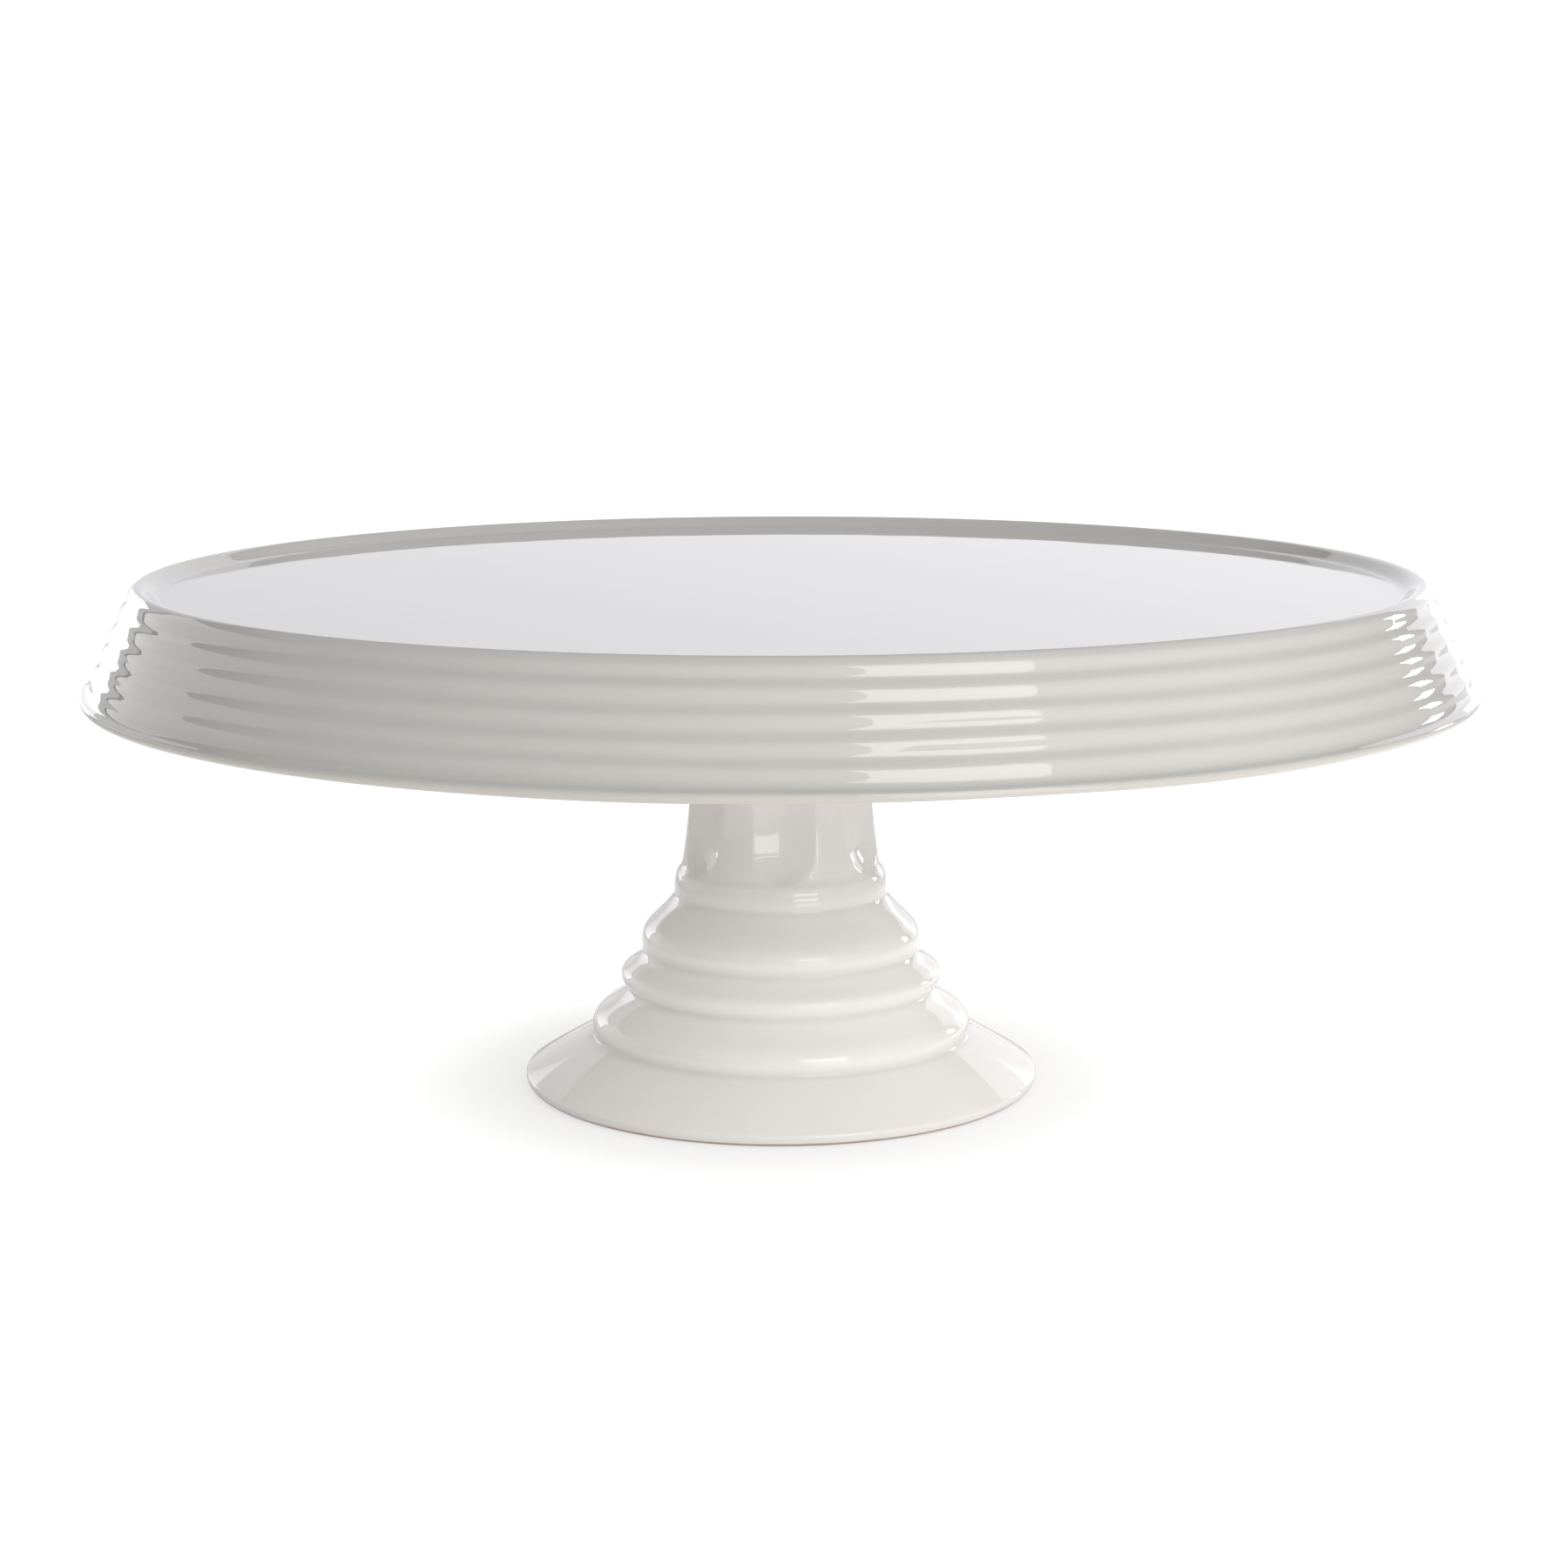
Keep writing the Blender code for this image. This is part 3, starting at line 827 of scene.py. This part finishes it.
def bare_foot_ring(material, where, colour, roughness):
    """Leaves the ring that stands on the table unglazed: matt, toasted at the glaze line."""
    tree = material.node_tree
    ragged = calc(tree, "MULTIPLY", centred_noise(tree, where, RAGGED_SCALE, 2.0), GLAZE_LINE_RAGGED)
    height = calc(tree, "ADD", axes(tree, where)["Z"], ragged)
    bare = calc(tree, "LESS_THAN", height, GLAZE_LINE)
    from_line = calc(tree, "ABSOLUTE", calc(tree, "SUBTRACT", height, GLAZE_LINE))
    toast = calc(tree, "SUBTRACT", 1, calc(tree, "DIVIDE", from_line, TOAST_WIDTH), clamp=True)
    clay = mixed(tree, "RGBA", bare, colour, BARE_CLAY)
    toasted = mixed(tree, "RGBA", calc(tree, "MULTIPLY", toast, TOAST_STRENGTH), clay, TOASTED_CLAY)
    matt = mixed(tree, "FLOAT", bare, roughness, BARE_ROUGHNESS)
    feed(tree, tree.nodes["Principled BSDF"], Base_Color=toasted, Roughness=matt)


def make_glazes():
    """The glaze of each of the three pieces."""
    groups = {"skin": glaze_skin_group(), "tint": glaze_tint_group(), "pinholes": pinhole_group()}
    # The plate takes a shaded grey copy of the glaze and the pedestal a lit near-white copy of it. The
    # pedestal darkens with painted shade up to its neck, and the slip ring takes that shaded neck colour
    # all over.
    plate = glazed_porcelain("plate_glaze", groups, SHADED_PLATE_GLAZE, POOLED_AND_SHADED_GLAZE, PLATE_SKIN)
    foot = glazed_porcelain("pedestal_glaze", groups, LIT_FOOT_GLAZE, SHADED_NECK_GLAZE, PEDESTAL_SKIN)
    bare_foot_ring(*foot)
    # the slip ring takes the shaded neck colour all over, which is painted shade under the plate
    seam = glazed_porcelain("seam_glaze", groups, SHADED_NECK_GLAZE, SHADED_NECK_GLAZE, PEDESTAL_SKIN)
    return {"plate": plate[0], "pedestal": foot[0], "slip_seam": seam[0]}


# ---------------------------------------------------------------- studio

def direction(azimuth, elevation=0.0):
    """Unit vector from the stand: azimuth 0 is towards the camera, positive to its right."""
    turn = math.radians(azimuth) + CAMERA_SWING
    rise = math.radians(elevation)
    level = math.cos(rise)
    return Vector((math.sin(turn) * level, -math.cos(turn) * level, math.sin(rise)))


def stage_material(name, colour, roughness, glow):
    """A plain surface of the studio that shines with the strength of its glow."""
    material = bpy.data.materials.new(name)
    material.use_nodes = True
    feed(
        material.node_tree, material.node_tree.nodes["Principled BSDF"],
        Base_Color=colour, Roughness=roughness, Emission_Color=(1, 1, 1, 1), Emission_Strength=glow)
    return material


def card(name, points, faces):
    """A surface of the studio that shows only in reflections, and its mesh."""
    mesh = bpy.data.meshes.new(name)
    mesh.from_pydata(points, [], faces)
    sheet = bpy.data.objects.new(name, mesh)
    bpy.context.scene.collection.objects.link(sheet)
    sheet.visible_camera = False
    return mesh


def softbox(name, azimuth, elevation, width, height, power):
    """A rectangular lamp turned to the stand."""
    data = bpy.data.lights.new(name, "AREA")
    data.shape = "RECTANGLE"
    data.size = width
    data.size_y = height
    data.energy = power
    lamp = bpy.data.objects.new(name, data)
    target = Vector(LAMP_AIM)
    lamp.location = target + direction(azimuth, elevation) * LAMP_DISTANCE
    lamp.rotation_mode = "QUATERNION"
    lamp.rotation_quaternion = (target - lamp.location).to_track_quat("-Z", "Y")
    bpy.context.scene.collection.objects.link(lamp)


def glowing_screen(name, radius, azimuths, top, light, columns, tint=(1, 1, 1)):
    """A standing screen bent round the stand: light(azimuth) is its radiance."""
    points, faces, glow = [], [], []
    rise = Vector((0, 0, radius * math.tan(math.radians(top))))
    for i in range(columns + 1):
        azimuth = azimuths[0] + (azimuths[1] - azimuths[0]) * i / columns
        foot = direction(azimuth) * radius
        points += [foot, foot + rise]
        glow += [light(azimuth)] * 2
    for i in range(columns):
        faces.append((2 * i, 2 * i + 1, 2 * i + 3, 2 * i + 2))
    mesh = card(name, points, faces)
    layer = mesh.attributes.new("glow", "FLOAT_COLOR", "POINT")
    for i, value in enumerate(glow):
        layer.data[i].color = (tint[0] * value, tint[1] * value, tint[2] * value, 1)
    material = stage_material(name, (0, 0, 0, 1), 1.0, 1.0)
    tree = material.node_tree
    brightness = new_node(tree, "ShaderNodeAttribute", {"attribute_name": "glow"}).outputs["Color"]
    feed(tree, tree.nodes["Principled BSDF"], Emission_Color=brightness, Specular_IOR_Level=0.0)
    mesh.materials.append(material)


def wall_light(azimuth):
    """Radiance of the wall on the left, strongest beside the backdrop."""
    share = (azimuth - WALL[0]) / (WALL[1] - WALL[0])
    return WALL_LIGHT * (1 - share) ** WALL_FADE


def backdrop_light(azimuth):
    """Radiance of the white backdrop, a little brighter to the right."""
    across = (azimuth - BACKDROP[0]) / (BACKDROP[1] - BACKDROP[0])
    return BACKDROP_RIGHT + (BACKDROP_LEFT - BACKDROP_RIGHT) * across


def rim_light(azimuth):
    """Radiance of the tall lamps at both ends of the backdrop, fading towards its middle."""
    inner, outer = RIM_RIGHT[::-1] if azimuth < 180 else RIM_LEFT
    return RIM_INNER + (RIM_LIGHT - RIM_INNER) * (azimuth - inner) / (outer - inner)


def make_sheen():
    """The window's glare on the polished table in front of the stand, seen only in reflections."""
    front, back = SHEEN_REACH
    left, right = SHEEN_AZIMUTHS
    corners = ((left, front), (right, front), (right, back), (left, back))
    lift = Vector((0, 0, SHEEN_LIFT))
    points = [direction(azimuth) * reach + lift for azimuth, reach in corners]
    mesh = card("sheen", points, [(0, 1, 2, 3)])
    mesh.materials.append(stage_material("sheen", (0, 0, 0, 1), 1.0, SHEEN_LIGHT))


def towards_bright_side(tree, way):
    """How far a level direction points to the room's bright side, from -1 to 1."""
    level = vector_math(tree, "NORMALIZE", way).outputs[0]
    return vector_math(tree, "DOT_PRODUCT", level, direction(ROOM_BRIGHT_SIDE)).outputs["Value"]


def make_floor():
    """Pale floor: bright round the plate's shadow in reflections, nearly white to the camera."""
    bpy.ops.mesh.primitive_plane_add(size=FLOOR_SIZE, location=(0, 0, 0))
    floor = bpy.context.object
    floor.name = "floor"
    material = stage_material("pale_floor", FLOOR_COLOUR, 0.95, 1.0)
    tree = material.node_tree
    where = tree.nodes.new("ShaderNodeTexCoord").outputs["Object"]
    reach = vector_math(tree, "LENGTH", where).outputs["Value"]
    lit = eased(tree, reach, *FLOOR_SHADE, FLOOR_SHADED, FLOOR_BRIGHT)
    faded = eased(tree, reach, *FLOOR_FADE, 1.0, FLOOR_FAR)
    leaning = calc(tree, "MULTIPLY_ADD", towards_bright_side(tree, where), FLOOR_LEAN, 1.0)
    glow = product(tree, lit, faded, leaning)
    shown = eased(tree, reach, *FLOOR_SHOWN_REACH, FLOOR_SHOWN_SHADE, FLOOR_SHOWN)
    seen = tree.nodes.new("ShaderNodeLightPath").outputs["Is Camera Ray"]
    feed(
        tree, tree.nodes["Principled BSDF"],
        Emission_Color=mixed(tree, "FLOAT", seen, glow, shown),
        Base_Color=mixed(tree, "RGBA", seen, FLOOR_COLOUR, FLOOR_SHOWN_COLOUR))
    floor.data.materials.append(material)


def make_world():
    """The room: a bright wall to the right, a dim one to the left and a soft glow overhead.

    The camera sees plain white past the floor."""
    world = bpy.data.worlds.new("studio")
    bpy.context.scene.world = world
    world.use_nodes = True
    tree = world.node_tree
    way = axes(tree, tree.nodes.new("ShaderNodeTexCoord").outputs["Generated"])
    level = new_node(tree, "ShaderNodeCombineXYZ", X=way["X"], Y=way["Y"]).outputs[0]
    turned = calc(tree, "MULTIPLY_ADD", towards_bright_side(tree, level), 0.5, 0.5)
    wall = product(
        tree, calc(tree, "POWER", turned, ROOM_TURN), ROOM_BRIGHT,
        eased(tree, way["Z"], *ROOM_LOW), eased(tree, way["Z"], *ROOM_HIGH))
    overhead = eased(tree, way["Z"], *CEILING_FROM, 0.0, CEILING)
    light = calc(tree, "ADD", calc(tree, "ADD", wall, ROOM_DIM), overhead)
    seen = tree.nodes.new("ShaderNodeLightPath").outputs["Is Camera Ray"]
    shown = mixed(tree, "FLOAT", seen, light, ROOM_SHOWN)
    feed(tree, tree.nodes["Background"], Color=shown, Strength=1.0)


def make_studio():
    """The floor, the room, the screens and the lamps."""
    make_floor()
    make_world()
    wide, narrow = WIDE_SCREEN_COLUMNS, NARROW_SCREEN_COLUMNS
    glowing_screen("left_wall", WALL_RADIUS, WALL, WALL_TOP, wall_light, wide)
    glowing_screen(
        "backdrop", BACKDROP_RADIUS, BACKDROP, BACKDROP_TOP, backdrop_light, wide, BACKDROP_TINT)
    for name, azimuths in (("rim_right", RIM_RIGHT), ("rim_left", RIM_LEFT)):
        glowing_screen(name, RIM_RADIUS, azimuths, RIM_TOP, rim_light, narrow, BACKDROP_TINT)
    make_sheen()
    softbox("window", **WINDOW)
    softbox("window_low", **LOW_WINDOW)
    softbox("side_box", **SIDE_BOX)


def make_camera():
    """The camera, a little above the plate and nearly level with the stand's front."""
    data = bpy.data.cameras.new("camera")
    data.lens = CAMERA_LENS
    data.sensor_width = CAMERA_SENSOR
    data.clip_start, data.clip_end = CAMERA_REACH
    camera = bpy.data.objects.new("camera", data)
    bpy.context.scene.collection.objects.link(camera)
    ahead = Vector((-math.sin(CAMERA_SWING), math.cos(CAMERA_SWING), 0))
    right = Vector((math.cos(CAMERA_SWING), math.sin(CAMERA_SWING), 0))
    camera.location = right * CAMERA_ASIDE - ahead * CAMERA_DISTANCE + Vector((0, 0, CAMERA_HEIGHT))
    look = ahead * math.cos(CAMERA_PITCH) - Vector((0, 0, math.sin(CAMERA_PITCH)))
    camera.rotation_mode = "QUATERNION"
    camera.rotation_quaternion = look.to_track_quat("-Z", "Y") @ Quaternion((0, 0, 1), CAMERA_ROLL)
    bpy.context.scene.camera = camera


def main():
    """The studio, then the three pieces of the stand on the frame's one body."""
    bpy.context.scene.view_settings.view_transform = "Standard"
    make_camera()
    make_studio()
    glazes = make_glazes()
    tree = turned_ware()
    for piece, node, slot in (
        (turned_plate(tree, glazes["plate"]), "plate", "plate_glaze"),
        (turned_pedestal(tree, glazes["pedestal"]), "pedestal", "pedestal_glaze"),
        (turned_seam(tree, glazes["slip_seam"]), "slip_seam", "seam_glaze"),
    ):
        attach(piece, "root")
        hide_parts(node)


main()
